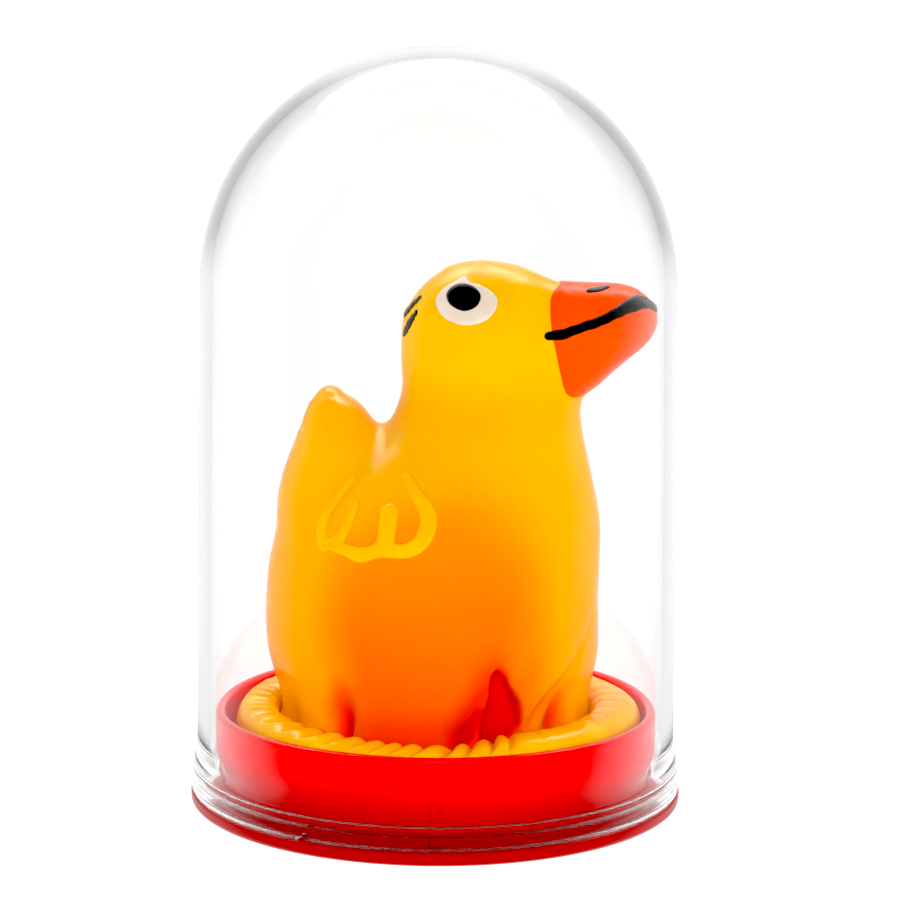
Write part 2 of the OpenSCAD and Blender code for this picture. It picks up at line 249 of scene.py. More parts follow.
def ramp(values, start, end):
    """0 at start, 1 at end and a soft S between them."""
    t = np.clip((values - start) / (end - start), 0, 1)
    return t * t * (3 - 2 * t)


def rounded_path(corners, steps=6):
    """Points [radius, height] along a path whose corners [radius, height, fillet] are rounded."""
    corners = np.array(corners, float)
    n = len(corners)
    made = []
    for i, (r, z, fillet) in enumerate(corners):
        here = np.array([r, z])
        if fillet == 0 or i in (0, n - 1):
            made.append(here)
            continue
        before = corners[i - 1, :2] - here
        after = corners[i + 1, :2] - here
        before /= np.linalg.norm(before)
        after /= np.linalg.norm(after)
        half = math.acos(np.clip(before @ after, -1, 1)) / 2
        middle = before + after
        centre = here + middle / np.linalg.norm(middle) * fillet / math.sin(half)
        start = here + before * fillet / math.tan(half) - centre
        end = here + after * fillet / math.tan(half) - centre
        sweep = math.pi - 2 * half
        for s in np.linspace(0, 1, steps + 1):
            share = (math.sin((1 - s) * sweep) * start + math.sin(s * sweep) * end) / math.sin(sweep)
            made.append(centre + share)
    return np.array(made)


def arc(centre, r, start, end, steps, squash=1.0):
    """Points [radius, height] on an arc from start to end, in degrees from outward, squashed sideways."""
    turns = np.radians(np.linspace(start, end, steps))
    return np.stack([centre[0] + squash * r * np.cos(turns), centre[1] + r * np.sin(turns)], 1)


def ring_angles(count, dense_at=(), dense_reach=0.0, dense_step=0.0):
    """Angles round a ring, evenly spaced, with closer ones near some directions."""
    angles = set(np.round(np.linspace(0, 2 * math.pi, count, endpoint=False), 6))
    for centre in dense_at:
        near = np.arange(-dense_reach, dense_reach + dense_step / 2, dense_step) + math.radians(centre)
        near = np.mod(near, 2 * math.pi)
        angles = {a for a in angles if np.abs(np.angle(np.exp(1j * (near - a)))).min() > dense_step * 0.6}
        angles |= set(np.round(near, 6))
    return np.array(sorted(angles))


def lathe(profile, angles, shape=None):
    """A closed solid of revolution. profile is a loop of [radius, height], and a point on the axis
    becomes a pole. shape(angles, radii, heights) may move points of the grid before it is closed."""
    profile = np.asarray(profile, float)
    following = np.roll(profile, -1, axis=0)
    if (profile[:, 0] * following[:, 1] - following[:, 0] * profile[:, 1]).sum() < 0:
        profile = profile[::-1]
    n, m = len(angles), len(profile)
    r = np.repeat(profile[:, 0][:, None], n, 1)
    z = np.repeat(profile[:, 1][:, None], n, 1)
    a = np.repeat(angles[None, :], m, 0)
    if shape:
        r, z = shape(a, r, z)
    verts = np.stack([r * np.cos(a), r * np.sin(a), z], 2).reshape(-1, 3)
    on_axis = profile[:, 0] < 1e-6
    index = np.arange(m * n).reshape(m, n)
    index[on_axis] = index[on_axis][:, :1]
    faces = []
    for i in range(m):
        j = (i + 1) % m
        if on_axis[i] and on_axis[j]:
            continue
        for k in range(n):
            q = (k + 1) % n
            quad = [index[i, k], index[i, q], index[j, q], index[j, k]]
            faces.append([v for at, v in enumerate(quad) if v != quad[at - 1]])
    used, inverse = np.unique(np.concatenate([np.array(f) for f in faces]), return_inverse=True)
    sizes = np.cumsum([len(f) for f in faces])[:-1]
    return verts[used], [list(map(int, f)) for f in np.split(inverse, sizes)]


def closed_loft(rings):
    """A closed skin over rings of equal length."""
    n, m = len(rings[0]), len(rings)
    faces = [[i * n + k, i * n + (k + 1) % n, (i + 1) * n + (k + 1) % n, (i + 1) * n + k]
             for i in range(m - 1) for k in range(n)]
    faces.append(list(range(n))[::-1])
    faces.append([(m - 1) * n + k for k in range(n)])
    return np.concatenate(rings), faces


def make_mesh(name, verts, faces):
    mesh = bpy.data.meshes.new(name)
    mesh.from_pydata((np.asarray(verts) * MM).tolist(), [], [list(map(int, f)) for f in faces])
    mesh.validate()
    mesh.update()
    return mesh


def new_piece(name, verts, faces, material, body, nodes, crease_deg=None):
    """A finished piece: in place, smooth, with its material, riding on its body."""
    mesh = make_mesh(name, verts, faces)
    mesh.shade_smooth()
    if crease_deg:
        mesh.set_sharp_from_angle(angle=math.radians(crease_deg))
    piece = bpy.data.objects.new(name, mesh)
    bpy.context.scene.collection.objects.link(piece)
    piece.data.materials.append(material)
    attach(piece, body)
    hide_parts(*nodes)
    return piece


# The skin as arrays of points, normals and triangles ---------------------------------------------


def point_normals(verts, tris):
    a, b, c = (verts[tris[:, i]] for i in range(3))
    face = np.cross(b - a, c - a)
    normals = np.zeros_like(verts)
    for i in range(3):
        for axis in range(3):
            normals[:, axis] += np.bincount(tris[:, i], face[:, axis], len(verts))
    return normals / np.maximum(np.linalg.norm(normals, axis=1), 1e-12)[:, None]


def edge_pairs(tris):
    """Each edge of the triangles once, and for each triangle's edges ab, bc, ca the edge's number."""
    ends = np.sort(np.concatenate([tris[:, [0, 1]], tris[:, [1, 2]], tris[:, [2, 0]]]), axis=1)
    keys, inverse = np.unique(ends[:, 0].astype(np.int64) << 32 | ends[:, 1], return_inverse=True)
    pairs = np.stack([keys >> 32, keys & 0xFFFFFFFF], 1)
    return pairs, inverse.reshape(3, -1)


def relaxed(verts, tris, rounds, share, grow_back=None):
    """Points moved towards the middle of their neighbours, by a share that may differ for each."""
    pairs, _ = edge_pairs(tris)
    a, b = pairs.T
    count = np.bincount(pairs.ravel(), minlength=len(verts))[:, None]
    share = np.broadcast_to(np.asarray(share, float), len(verts))[:, None]
    verts = verts.copy()
    for _ in range(rounds):
        for weight in (share, grow_back):
            if weight is None:
                continue
            middle = np.zeros_like(verts)
            for axis in range(3):
                middle[:, axis] = (np.bincount(a, verts[b, axis], len(verts))
                                   + np.bincount(b, verts[a, axis], len(verts)))
            verts += weight * (middle / count - verts)
    return verts


def cut_off(values, tris, field):
    """The part of a triangle mesh where field is above 0. values holds a row for each point, and the
    new points on the cut get their share of their edge's two rows."""
    field = np.where(np.abs(field) < 1e-6, -1e-6, field)
    keep = field > 0
    pairs, edges = edge_pairs(tris)
    fa, fb = field[pairs[:, 0]], field[pairs[:, 1]]
    share = np.clip(fa / np.where(fa == fb, 1, fa - fb), 0.02, 0.98)[:, None]
    crossing = values[pairs[:, 0]] * (1 - share) + values[pairs[:, 1]] * share
    values = np.concatenate([values, crossing])
    first_new = len(field)
    inside = keep[tris]
    count = inside.sum(1)
    made = [tris[count == 3]]
    for turn in range(3):
        order = [turn, (turn + 1) % 3, (turn + 2) % 3]
        corner = tris[:, order]
        ab, ca = edges[order[0]] + first_new, edges[order[2]] + first_new
        one = (count == 1) & inside[:, order[0]]
        made.append(np.stack([corner[one, 0], ab[one], ca[one]], 1))
        two = (count == 2) & ~inside[:, order[0]]
        made.append(np.stack([ab[two], corner[two, 1], corner[two, 2]], 1))
        made.append(np.stack([ab[two], corner[two, 2], ca[two]], 1))
    made = np.concatenate(made)
    used, inverse = np.unique(made, return_inverse=True)
    on_cut = used >= first_new
    return values[used], inverse.reshape(-1, 3), on_cut


def open_edges(tris):
    """Directed edges that only one triangle has."""
    ends = np.concatenate([tris[:, [0, 1]], tris[:, [1, 2]], tris[:, [2, 0]]])
    keys = np.sort(ends, axis=1)
    keys = keys[:, 0].astype(np.int64) << 32 | keys[:, 1]
    _, index, count = np.unique(keys, return_index=True, return_counts=True)
    return ends[index[count == 1]]


def shell(top, bottom, tris):
    """A closed solid between two sheets with the same triangles."""
    n = len(top)
    sides = [[b, a, a + n, b + n] for a, b in open_edges(tris)]
    return np.concatenate([top, bottom]), tris.tolist() + (tris[:, ::-1] + n).tolist() + sides


def quartered(verts, normals, tris):
    """Each triangle in four, with the new points lifted onto the curve that the normals tell of."""
    pairs, edges = edge_pairs(tris)
    (a, b), (na, nb) = ((source[pairs[:, 0]], source[pairs[:, 1]]) for source in (verts, normals))
    middle = (a + b) / 2
    lift = ((middle - a) * na).sum(1)[:, None] * na + ((middle - b) * nb).sum(1)[:, None] * nb
    middle -= 0.375 * lift
    tilt = na + nb
    tilt /= np.linalg.norm(tilt, axis=1)[:, None]
    ab, bc, ca = edges + len(verts)
    p, q, r = tris.T
    made = [[p, ab, ca], [ab, q, bc], [ca, bc, r], [ab, bc, ca]]
    tris = np.concatenate([np.stack(t, 1) for t in made])
    return np.concatenate([verts, middle]), np.concatenate([normals, tilt]), tris


def level_rings(rows, sides):
    turn = np.linspace(0, 2 * math.pi, sides, endpoint=False)
    return [np.stack([(back + front) / 2 + (front - back) / 2 * np.cos(turn), half * np.sin(turn),
                      np.full(sides, h)], 1) for h, back, front, half in rows]


def upright_rings(rows, sides):
    turn = np.linspace(0, 2 * math.pi, sides, endpoint=False)
    return [np.stack([np.full(sides, x), -half * np.sin(turn),
                      (under + top) / 2 + (top - under) / 2 * np.cos(turn)], 1)
            for x, under, top, half in rows]


def tail_rings(sides):
    """The tail's level rings, closed by half an ellipsoid at its tip."""
    rows = list(smooth_rows(TAIL, 6))
    h, back, front, half = TAIL[-1]
    middle, rx = (back + front) / 2, (front - back) / 2
    for t in np.radians([20, 40, 60, 78]):
        rows.append([h + TAIL_ROUND * math.sin(t), middle - rx * math.cos(t), middle + rx * math.cos(t),
                     half * math.cos(t)])
    return level_rings(rows, sides)


def voxel_joined(parts, voxel):
    """Overlapping closed shapes as one closed mesh: its points and its triangles."""
    verts, faces, start = [], [], 0
    for v, f in parts:
        verts.append(v)
        faces += [[i + start for i in face] for face in f]
        start += len(v)
    mesh = make_mesh("joining", np.concatenate(verts) / MM, faces)
    work = bpy.data.objects.new("joining", mesh)
    bpy.context.scene.collection.objects.link(work)
    remesh = work.modifiers.new("joined", "REMESH")
    remesh.mode = "VOXEL"
    remesh.voxel_size = voxel
    evaluated = work.evaluated_get(bpy.context.evaluated_depsgraph_get())
    made = evaluated.to_mesh()
    made.calc_loop_triangles()
    points = np.zeros(len(made.vertices) * 3)
    made.vertices.foreach_get("co", points)
    tris = np.zeros(len(made.loop_triangles) * 3, int)
    made.loop_triangles.foreach_get("vertices", tris)
    evaluated.to_mesh_clear()
    bpy.data.objects.remove(work)
    bpy.data.meshes.remove(mesh)
    return points.reshape(-1, 3), tris.reshape(-1, 3)


def distance_to(part, points):
    """How far each point is from a shape's surface."""
    tree = BVHTree.FromPolygons([Vector(v) for v in part[0]], part[1])
    return np.array([tree.find_nearest(Vector(p))[3] for p in points])


def unrolled(direction, height):
    """Places round the foot of the skin as points of a flat sheet, in millimetres."""
    return np.stack([np.radians(direction) * FOLD_R, height], -1)


def fold_depth(turn, h):
    """How far the slack foot of the skin is drawn in, at directions in degrees and heights."""
    depth = np.zeros(len(turn))
    low = h < 18
    here_turn, here_h = turn[low], h[low]
    sum_here = np.zeros(len(here_h))
    for fold in FOLDS:
        rows = smooth_rows(fold, 4)
        off = np.mod(here_turn - rows[0, 0] + 180, 360) - 180 + rows[0, 0]
        distance, place = along_path(unrolled(off, here_h), unrolled(rows[:, 0], rows[:, 1]))
        number = np.arange(len(rows))
        half, deep = np.interp(place, number, rows[:, 2]), np.interp(place, number, rows[:, 3])
        sum_here += deep * np.exp(-((distance / half) ** 2))
    outline = np.array(SUNK)
    inside = outline_field(unrolled(here_turn, here_h), unrolled(outline[:, 0], outline[:, 1]))
    fall = np.interp(here_turn, *np.array(SUNK_FALL).T)
    sunk = SUNK_DEPTH * (1 - ramp(-inside, 0, fall))
    depth[low] = np.maximum(sum_here, sunk)
    return depth


def soft_dents(verts):
    """Slow unevenness of a dipped skin, in millimetres."""
    x, y, z = verts.T
    waves = (np.sin(0.41 * x + 0.23 * z + 0.9) * np.sin(0.37 * y + 1.3)
             + 0.7 * np.sin(0.62 * z - 0.35 * x) * np.cos(0.55 * y + 0.4 * x))
    return 0.06 * waves


def make_skin():
    """The outside of the latex skin: points, normals and triangles, with z as height above the hem."""
    body = closed_loft(level_rings(smooth_rows(BODY, 8), 128))
    beak = closed_loft(upright_rings(smooth_rows(BEAK, 6), 72))
    tail = closed_loft(tail_rings(72))
    verts, tris = voxel_joined([body, beak, tail], SKIN_VOXEL)
    verts = relaxed(verts, tris, 6, 0.5, -0.52)
    above = verts[:, 2] > 18
    near = np.full((3, len(verts)), 99.0)
    for row, part in enumerate((body, beak, tail)):
        near[row, above] = distance_to(part, verts[above])
    beak_join = np.maximum(near[0], near[1])
    tail_join = np.maximum(near[0], near[2])
    joint = np.minimum(beak_join, tail_join)
    verts = relaxed(verts, tris, 45, 0.6 * (1 - ramp(joint, 0.4, JOIN_REACH)))
    verts = relaxed(verts, tris, 3, 0.5)
    reach = np.hypot(verts[:, 0], verts[:, 1])
    turn = np.degrees(np.arctan2(verts[:, 1], verts[:, 0]))
    height = verts[:, 2]
    least = FORMER_R + SKIN_T + 0.35
    inward = np.where(reach > least, np.minimum(fold_depth(turn, height), (reach - least) * 0.98), 0)
    reach = reach - inward
    beside = ramp(turn, -66, -58) * (1 - ramp(turn, -50, -34)) * (1 - ramp(height, 8, 11))
    turn = np.radians(turn - FLAP_LEAN * ramp(reach, least + 0.2, least + 2.2) * beside)
    verts = np.stack([reach * np.cos(turn), reach * np.sin(turn), height], 1)
    verts = relaxed(verts, tris, 3, 0.4)
    normals = point_normals(verts, tris)
    verts += normals * soft_dents(verts)[:, None] * ramp(verts[:, 2], 6, 14)[:, None]
    return verts, point_normals(verts, tris), tris


# Paint ------------------------------------------------------------------------------------------


def along_path(points, path):
    """Each point's distance to a path, and its place along it, as a row number with a fraction."""
    best = np.full(len(points), np.inf)
    place = np.zeros(len(points))
    for i in range(len(path) - 1):
        step = path[i + 1] - path[i]
        t = np.clip((points - path[i]) @ step / max(step @ step, 1e-12), 0, 1)
        d = np.linalg.norm(points - path[i] - t[:, None] * step, axis=1)
        closer = d < best
        best = np.where(closer, d, best)
        place = np.where(closer, i + t, place)
    return best, place


def stroke_field(points, path, widths):
    """How far inside a brush stroke each point is. path runs along the skin."""
    distance, place = along_path(points, path)
    return np.interp(place, np.arange(len(widths)), widths) - distance


def joined_field(fields, soft=0.1):
    """Several strokes as one, with small fillets where they meet."""
    fields = np.array(fields)
    top = fields.max(0)
    return top + soft * np.log(np.exp((fields - top) / soft).sum(0))


def outline_field(points, outline):
    """How far inside a closed outline each 2-D point is, and below 0 outside it."""
    loop = np.concatenate([outline, outline[:1]])
    distance, _ = along_path(points, loop)
    inside = np.zeros(len(points), bool)
    x, y = points.T
    for (xa, ya), (xb, yb) in zip(loop[:-1], loop[1:]):
        if ya != yb:
            inside ^= ((ya > y) != (yb > y)) & (x < (xb - xa) * (y - ya) / (yb - ya) + xa)
    return np.where(inside, distance, -distance)


def rounded_height(field, reach, thickness):
    """A paint edge that rises as a quarter of an ellipse and then stays level."""
    t = np.clip(field / reach, 0, 1)
    return thickness * np.sqrt(1 - (1 - t) ** 2)


class Skin:
    """The skin's outside, and what is asked of it when marks are painted on it."""

    def __init__(self):
        self.verts, self.normals, self.tris = make_skin()
        self.tree = BVHTree.FromPolygons([Vector(v) for v in self.verts], self.tris.tolist())

    def cast(self, start, towards):
        hit = self.tree.ray_cast(Vector(start), Vector(towards))[0]
        return np.array(hit)

    def side_path(self, stroke, side, steps=4):
        """A stroke [forward, height, half width] laid on one side: points and half widths."""
        rows = smooth_rows(stroke, steps)
        points = [self.cast((x, side * 30, h), (0, -side, 0)) for x, h, _ in rows]
        return np.array(points), rows[:, 2]

    def patch(self, low, high, divisions):
        """The skin inside a box, divided finely."""
        middle = self.verts[self.tris].mean(1)
        wanted = ((middle > low) & (middle < high)).all(1)
        used, index = np.unique(self.tris[wanted], return_inverse=True)
        sheet = self.verts[used], self.normals[used], index.reshape(-1, 3)
        for _ in range(divisions):
            sheet = quartered(*sheet)
        return sheet


def seen_from_side(outline):
    """The field of a closed outline [forward, height] on the side of the head."""
    return lambda points: outline_field(points[:, [0, 2]], outline)


def painted(name, skin, low, high, divisions, field_of, rise, material, nodes, base_of=None):
    """Paint where field_of is above 0, on the skin inside a box. It reaches a little into what it is
    painted on, whose height over the skin base_of gives if that isn't the bare skin."""
    verts, normals, tris = skin.patch(np.array(low, float), np.array(high, float), divisions)
    field = field_of(verts)
    rows = np.concatenate([verts, normals, field[:, None]], 1)
    rows, tris, on_cut = cut_off(rows, tris, field)
    points, normals, field = rows[:, :3], rows[:, 3:6], np.maximum(rows[:, 6], 0)
    field = np.where(on_cut, 0, field)
    normals /= np.linalg.norm(normals, axis=1)[:, None]
    base = base_of(points) if base_of else np.zeros(len(points))
    top = points + normals * (base + rounded_height(field, *rise))[:, None]
    bottom = points + normals * (base - SINK)[:, None]
    solid, faces = shell(top, bottom, tris)
    return new_piece(name, lifted(solid), faces, material, "figure", nodes)


def lifted(verts):
    """From height above the hem's underside to the part's own frame."""
    return verts + [0, 0, FIGURE_Z]


# Materials --------------------------------------------------------------------------------------


class Graph:
    """A node tree under construction."""

    def __init__(self, tree):
        self.nodes = tree.nodes
        self.links = tree.links

    def node(self, kind, **settings):
        made = self.nodes.new(kind)
        for key, value in settings.items():
            setattr(made, key, value)
        return made

    def wire(self, source, target):
        self.links.new(source, target)

    def math(self, operation, a, b=None):
        """One Math node. a and b are sockets or numbers."""
        made = self.node("ShaderNodeMath", operation=operation)
        for value, socket in zip((a, b), made.inputs):
            if isinstance(value, (int, float)):
                socket.default_value = value
            elif value is not None:
                self.wire(value, socket)
        return made.outputs[0]

    def times(self, a, b):
        return self.math("MULTIPLY", a, b)

    def plus(self, a, b):
        return self.math("ADD", a, b)

    def less(self, a, b):
        return self.math("SUBTRACT", a, b)

    def length(self, a, b):
        return self.math("SQRT", self.plus(self.times(a, a), self.times(b, b)))

    def axes(self, vector):
        made = self.node("ShaderNodeSeparateXYZ")
        self.wire(vector, made.inputs[0])
        return made.outputs

    def between(self, value, start, end, low=0.0, high=1.0):
        """value from start to end as low to high, with a soft S."""
        made = self.node("ShaderNodeMapRange", interpolation_type="SMOOTHSTEP")
        self.wire(value, made.inputs["Value"])
        for socket, number in zip(("From Min", "From Max", "To Min", "To Max"), (start, end, low, high)):
            made.inputs[socket].default_value = number
        return made.outputs["Result"]


class Look(Graph):
    """A Principled material under construction."""

    def __init__(self, name, **sockets):
        self.material = bpy.data.materials.new(name)
        self.material.use_nodes = True
        super().__init__(self.material.node_tree)
        self.shader = self.nodes["Principled BSDF"]
        self.output = self.nodes["Material Output"]
        for socket, value in sockets.items():
            self.shader.inputs[socket.replace("_", " ")].default_value = value
        self.place = self.node("ShaderNodeTexCoord").outputs["Object"]

    def noise(self, size_mm, detail=2.0, stretch=(1, 1, 1)):
        """Noise from 0 to 1 with features of about that size."""
        mapping = self.node("ShaderNodeMapping")
        mapping.inputs["Scale"].default_value = [s / (size_mm * MM) for s in stretch]
        self.wire(self.place, mapping.inputs["Vector"])
        made = self.node("ShaderNodeTexNoise")
        made.inputs["Scale"].default_value = 1.0
        made.inputs["Detail"].default_value = detail
        self.wire(mapping.outputs["Vector"], made.inputs["Vector"])
        return made.outputs["Fac"]

    def stops(self, value, stops):
        """A colour from [place, colour] stops."""
        made = self.node("ShaderNodeValToRGB")
        elements = made.color_ramp.elements
        while len(elements) < len(stops):
            elements.new(0.5)
        for element, (place, colour) in zip(elements, stops):
            element.position = place
            element.color = (*colour, 1)
        self.wire(value, made.inputs["Fac"])
        return made.outputs["Color"]

    def mix(self, share, a, b):
        """Colour a, going to b as share goes from 0 to 1. a and b are sockets or colours."""
        made = self.node("ShaderNodeMix", data_type="RGBA")
        self.wire(share, made.inputs["Factor"])
        for name, value in (("A", a), ("B", b)):
            socket = [s for s in made.inputs if s.name == name and s.type == "RGBA"][0]
            if isinstance(value, tuple):
                socket.default_value = (*value, 1)
            else:
                self.wire(value, socket)
        return [s for s in made.outputs if s.type == "RGBA"][0]

    def colour(self, source):
        self.wire(source, self.shader.inputs["Base Color"])

    def rough(self, source, low, high):
        self.wire(self.between(source, 0.3, 0.7, low, high), self.shader.inputs["Roughness"])

    def bump(self, source, height_mm, strength=1.0):
        made = self.node("ShaderNodeBump")
        made.inputs["Strength"].default_value = strength
        made.inputs["Distance"].default_value = height_mm * MM
        self.wire(source, made.inputs["Height"])
        self.wire(made.outputs["Normal"], self.shader.inputs["Normal"])


def latex(name, **sockets):
    """A glossy dipped-latex shader that glows a little from inside."""
    look = Look(name, Roughness=0.22, IOR=1.5, **sockets)
    look.shader.inputs["Specular IOR Level"].default_value = 0.13
    look.shader.inputs["Subsurface Weight"].default_value = 0.35
    look.shader.inputs["Subsurface Radius"].default_value = (1.0, 0.32, 0.08)
    look.shader.inputs["Subsurface Scale"].default_value = 1.6 * MM
    return look


def skin_material():
    """Yellow latex: yellow on the head, with painted shade that makes it deeper orange down the flanks,
    painted light that keeps the breast and back yellower, and painted red shade, with the red former seen
    through it, where the slack foot lies against the red former inside."""
    look = latex("yellow_latex_skin")
    x, y, z = look.axes(look.place)
    low, high = FIGURE_Z * MM, (FIGURE_Z + BODY[-1][0]) * MM
    drift = look.times(look.less(look.noise(13, 1.5), 0.5), 0.16)
    height = look.plus(look.between(z, low, high), drift)
    height.node.use_clamp = True
    # painted shade and light: the flanks darken to orange and red towards the foot, and the breast and back
    # stay yellower where light comes through the skin
    painted_flank_shade = look.stops(height, FLANK_PAINTED_SHADE)
    end = look.stops(height, ENDS_PAINTED_LIGHT)
    sideways = look.between(look.math("ABSOLUTE", y), 10 * MM, 14.4 * MM)
    neck = look.between(z, 36 * MM, 44 * MM)
    colour = look.mix(look.math("MAXIMUM", sideways, neck), end, painted_flank_shade)
    wobble = look.times(look.less(look.noise(2.2, 2.0), 0.5), 0.5 * MM)
    reach = look.plus(look.length(x, y), wobble)
    # painted red shade where the slack foot is drawn in and low on the flanks, and a darker painted red
    # where the skin lies on the former, standing for the former seen through the skin
    foot = look.between(z, 22 * MM, 16 * MM)
    painted_fold_shade = look.times(look.between(reach, 15.4 * MM, 13.8 * MM), foot)
    painted_former_seen_through = look.times(look.between(reach, 13.75 * MM, 13.45 * MM), foot)
    painted_foot_shade = look.times(look.between(z, 13.5 * MM, 9 * MM, 0.0, 0.75), sideways)
    colour = look.mix(look.math("MAXIMUM", painted_fold_shade, painted_foot_shade), colour, PAINTED_SHADE_RED)
    colour = look.mix(painted_former_seen_through, colour, PAINTED_SEEN_THROUGH_RED)
    look.colour(colour)
    look.rough(look.noise(1.6, 3.0), 0.16, 0.27)
    look.bump(look.noise(0.9, 3.0), 0.012)
    return look.material


def hem_material():
    """The same latex, a little uneven, with a painted red shade, standing for shade and red light from the
    cup, on the inside of the ring at its two sides.
    """
    look = latex("yellow_latex_hem")
    colour = look.stops(look.noise(5, 2.0), [(0.3, (1.0, 0.42, 0.0)), (0.7, (1.0, 0.56, 0.004))])
    x, y, _ = look.axes(look.place)
    # painted red shade and red light from the cup, on the inside of the ring at its two sides
    inner = look.times(look.between(look.length(x, y), 17.6 * MM, 16.6 * MM),
                       look.between(look.math("ABSOLUTE", y), 9.5 * MM, 13 * MM))
    look.colour(look.mix(inner, colour, (0.9, 0.012, 0.0)))
    look.rough(look.noise(1.2, 3.0), 0.15, 0.26)
    look.bump(look.noise(0.7, 3.0), 0.015)
    return look.material


def paint_material(name, dark, light, size_mm, rough=(0.16, 0.28), bump_mm=0.015, gloss=0.13):
    """Thick coloured latex, a little uneven in tone and surface."""
    look = latex(name)
    look.shader.inputs["Subsurface Weight"].default_value = 0.12
    look.shader.inputs["Specular IOR Level"].default_value = gloss
    look.colour(look.stops(look.noise(size_mm, 2.5), [(0.3, dark), (0.7, light)]))
    look.rough(look.noise(1.1, 3.0), *rough)
    look.bump(look.noise(0.6, 3.0), bump_mm)
    return look.material


def red_plastic(name, dark, light, low=None):
    """Glossy moulded plastic, with faint flow streaks and fine scuffs, and painted shade in a darker colour
    low down.
    """
    look = Look(name, Roughness=0.2, IOR=1.5, Coat_Weight=0.1, Coat_Roughness=0.08)
    colour = look.stops(look.noise(9, 2.0, (1, 1, 0.35)), [(0.3, dark), (0.7, light)])
    if low:
        # painted shade: darker towards the bottom, fading out going up
        z = look.axes(look.place)[2]
        above_painted_shade = look.between(z, FLANGE_H * MM, 8 * MM)
        colour = look.mix(above_painted_shade, low, colour)
    look.colour(colour)
    look.rough(look.noise(3, 3.0), 0.16, 0.24)
    look.bump(look.noise(4, 2.0), 0.008)
    return look.material


def clear_plastic():
    """Clear moulded plastic that lets lamps through to what it covers, duller on the foot's face and
    on the lips of the snap groove."""
    look = Look("clear_dome_plastic", IOR=1.49, Roughness=0.0)
    look.shader.inputs["Base Color"].default_value = (0.985, 0.99, 0.99, 1)
    look.shader.inputs["Transmission Weight"].default_value = 1.0
    x, y, z = look.axes(look.place)
    foot = look.between(z, (DOME_FOOT + 0.3) * MM, (DOME_FOOT + 0.2) * MM)
    from_groove = look.math("ABSOLUTE", look.less(z, BEAD_Z * MM))
    from_lip = look.math("ABSOLUTE", look.less(from_groove, GROOVE_R * MM))
    lip = look.between(from_lip, 0.14 * MM, 0.06 * MM)
    inside = look.between(look.length(x, y), (DOME_R - 0.15) * MM, (DOME_R - 0.2) * MM)
    dull = look.math("MAXIMUM", foot, look.times(lip, inside))
    polish = look.between(look.noise(6, 3.0), 0.3, 0.7, 0.0, 0.02)
    look.wire(look.math("MAXIMUM", polish, look.times(dull, 0.35)), look.shader.inputs["Roughness"])
    look.bump(look.noise(16, 1.0, (1, 1, 0.5)), 0.02, 0.35)
    path = look.node("ShaderNodeLightPath")
    passes = look.math("MAXIMUM", path.outputs["Is Shadow Ray"], path.outputs["Is Diffuse Ray"])
    clear = look.node("ShaderNodeBsdfTransparent")
    clear.inputs["Color"].default_value = (0.95, 0.95, 0.95, 1)
    mixed = look.node("ShaderNodeMixShader")
    look.wire(passes, mixed.inputs[0])
    look.wire(look.shader.outputs[0], mixed.inputs[1])
    look.wire(clear.outputs[0], mixed.inputs[2])
    look.wire(mixed.outputs[0], look.output.inputs["Surface"])
    return look.material


# Colours of the skin from its foot up, down the flanks and at the breast and back, as [place, colour]:
# painted shade darkens the flanks towards the foot, and painted light keeps the breast and back yellower
FLANK_PAINTED_SHADE = [(0.0, (1.0, 0.12, 0.0)), (0.12, (1.0, 0.145, 0.0)), (0.38, (1.0, 0.22, 0.0)),
         (0.6, (1.0, 0.3, 0.0)), (0.74, (1.0, 0.36, 0.0)), (0.9, (1.0, 0.49, 0.0))]
ENDS_PAINTED_LIGHT = [(0.0, (1.0, 0.35, 0.0)), (0.25, (1.0, 0.37, 0.0)), (0.5, (1.0, 0.41, 0.0)), (0.8, (1.0, 0.47, 0.0))]
# Painted red shade in the folds and low on the flanks, and the painted red of the former seen through the
# skin where it lies on it
PAINTED_SHADE_RED = (1.0, 0.045, 0.0)
PAINTED_SEEN_THROUGH_RED = (0.72, 0.004, 0.0)


# Case -------------------------------------------------------------------------------------------


